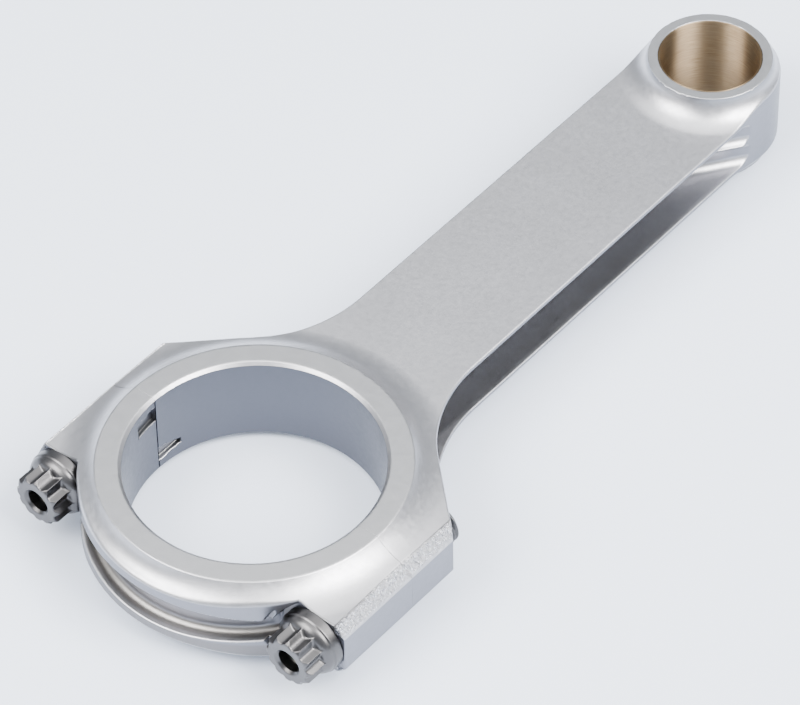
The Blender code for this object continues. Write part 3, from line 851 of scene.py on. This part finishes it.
forged = forging("blasted_steel")
screw_steel = steel("polished_steel", SCREW_LIGHT, SCREW_DARK, 0.32, 0.12, recess_shade_share=0.9)
sleeve_steel = steel("ground_steel", SLEEVE_LIGHT, SLEEVE_DARK, 0.28, 0.15)
honed = bronze()
for made, surface in ((rod, forged), (cap, forged), (bushing, honed)):
    made.data.materials.append(surface)
for made in screws:
    made.data.materials.append(screw_steel)
for made in sleeves:
    made.data.materials.append(sleeve_steel)


# ---- floor, light and camera ------------------------------------------------------------
FLOOR_REACH = 4.0
SKY_COLOR = (0.86, 0.92, 1.0, 1.0)


def floor_material():
    """A plain pale floor."""
    n = Nodes("pale_floor")
    n.set("Base Color", n.mix(n.noise(6.0, 3.0), FLOOR_DARK, FLOOR_LIGHT))
    n.set("Roughness", 0.6)
    return n.material


mesh = bpy.data.meshes.new("floor")
floor_corners = [(a * FLOOR_REACH, b * FLOOR_REACH, 0) for a, b in ((-1, -1), (1, -1), (1, 1), (-1, 1))]
mesh.from_pydata(floor_corners, [], [(0, 1, 2, 3)])
floor = bpy.data.objects.new("floor", mesh)
bpy.context.scene.collection.objects.link(floor)
mesh.materials.append(floor_material())

world = bpy.data.worlds.new("studio")
bpy.context.scene.world = world
world.use_nodes = True
sky = world.node_tree
coords = sky.nodes.new("ShaderNodeTexCoord")
split = sky.nodes.new("ShaderNodeSeparateXYZ")
climb = sky.nodes.new("ShaderNodeMapRange")
for name, number in {"From Min": 0.0, "From Max": 0.75, "To Min": 0.6, "To Max": 1.0}.items():
    climb.inputs[name].default_value = number
sky.links.new(coords.outputs["Generated"], split.inputs[0])
sky.links.new(split.outputs[2], climb.inputs["Value"])
sky.links.new(climb.outputs["Result"], sky.nodes["Background"].inputs[1])
sky.nodes["Background"].inputs[0].default_value = SKY_COLOR


def softbox(name, azimuth, elevation, distance, size, radiance, shape="SQUARE"):
    """A soft light on a sphere round the object, given by the brightness of its face."""
    light = bpy.data.lights.new(name, "AREA")
    light.shape = shape
    light.size = size
    area = size * size * (math.pi / 4 if shape == "DISK" else 1.0)
    light.energy = radiance * math.pi * area
    turn, lift = math.radians(azimuth), math.radians(elevation)
    level = distance * math.cos(lift)
    spot = Vector((level * math.cos(turn), level * math.sin(turn), distance * math.sin(lift)))
    made = bpy.data.objects.new(name, light)
    made.location = spot
    made.rotation_euler = (-spot).to_track_quat("-Z", "Y").to_euler()
    bpy.context.scene.collection.objects.link(made)


softbox("overhead", azimuth=0.0, elevation=90.0, distance=1.1, size=1.6, radiance=3.0, shape="DISK")
softbox("left_key", azimuth=158.0, elevation=45.0, distance=1.5, size=0.9, radiance=16.0)
softbox("right_key", azimuth=278.0, elevation=48.0, distance=1.5, size=0.9, radiance=24.0)

CAMERA = (-0.54255, -0.44658, 0.74095)
TARGET = (-0.01728, 0.00223, 0.01329)
ROLL = math.radians(-1.084)
FOCAL_PIXELS = 4793.1
FRAME_WIDTH = 800
SENSOR_WIDTH = 36.0
camera_data = bpy.data.cameras.new("camera")
camera_data.sensor_width = SENSOR_WIDTH
camera_data.lens = FOCAL_PIXELS * SENSOR_WIDTH / FRAME_WIDTH
camera = bpy.data.objects.new("camera", camera_data)
bpy.context.scene.collection.objects.link(camera)
bpy.context.scene.camera = camera
look = (Vector(TARGET) - Vector(CAMERA)).normalized()
right = look.cross(Vector((0, 0, 1))).normalized()
up = right.cross(look)
rolled_right = right * math.cos(ROLL) + up * math.sin(ROLL)
rolled_up = up * math.cos(ROLL) - right * math.sin(ROLL)
basis = Matrix((rolled_right, rolled_up, -look)).transposed().to_4x4()
camera.matrix_world = Matrix.Translation(CAMERA) @ basis
camera_data.clip_start = 0.01
